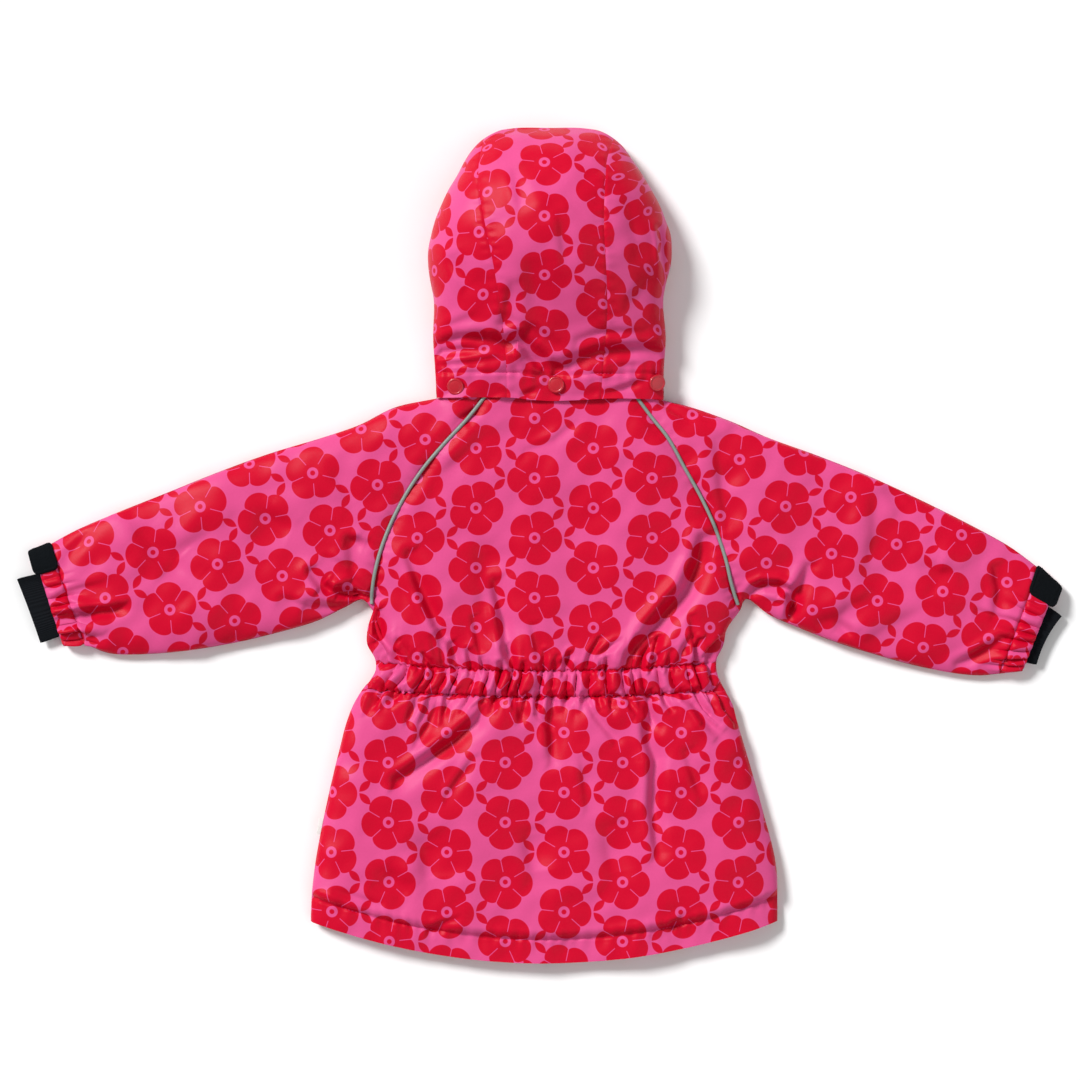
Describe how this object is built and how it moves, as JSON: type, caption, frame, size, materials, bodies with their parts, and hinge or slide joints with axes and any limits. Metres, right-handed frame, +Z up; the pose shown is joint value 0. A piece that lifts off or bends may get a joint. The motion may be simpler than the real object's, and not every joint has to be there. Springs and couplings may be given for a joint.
{
  "type": "child's padded winter jacket with a hood, laid flat",
  "caption": "Hooded padded winter jacket for a small child, laid face down with its sleeves spread; gathered back waist, raglan sleeves, storm cuffs and a front zip.",
  "frame": {"origin": "middle of the jacket's outline, on the surface that it lies on", "axes": "+X to the right of someone looking down on the back, which is across the sleeves; +Y from the hem to the hood; +Z up, out of the back"},
  "size_m": [0.9654, 0.77, 0.0776],
  "materials": {
    "shell": "matt coated polyamide, printed in red on pink, padded",
    "knit": "black elastic knit",
    "hook_and_loop": "black hook-and-loop tape",
    "piping": "grey reflective piping",
    "snap": "red moulded press-stud cap",
    "zip_tape": "woven tape",
    "zip_teeth": "moulded plastic teeth",
    "zip_metal": "satin",
    "label": "blank white ribbon"
  },
  "bodies": {
    "jacket": {"back_bodice": "shell", "waist_casing": "shell", "back_skirt": "shell", "front_left": "shell", "front_right": "shell", "sleeve_left": "shell", "sleeve_right": "shell", "cuff_casing_left": "shell", "cuff_casing_right": "shell", "hood_centre": "shell", "hood_side_left": "shell", "hood_side_right": "shell", "hood_face_hem": "shell", "collar": "shell", "inner_cuff_left": "knit", "inner_cuff_right": "knit", "cuff_tab_left": "hook_and_loop", "cuff_tab_right": "hook_and_loop", "piping_left": "piping", "piping_right": "piping", "snap_left": "snap", "snap_centre": "snap", "snap_right": "snap", "zip_tape_left": "zip_tape", "zip_tape_right": "zip_tape", "zip_teeth": "zip_teeth", "zip_slider": "zip_metal", "side_label": "label"},
    "pull_tab": {"zip_pull": "zip_metal"}
  },
  "joints": [
    {"name": "pull_hinge", "type": "hinge", "parent": "jacket", "child": "pull_tab", "pos_m": [0.00914, 0.13544, 0.003], "axis": [1, 0, 0], "range_deg": [0, 165]}
  ]
}
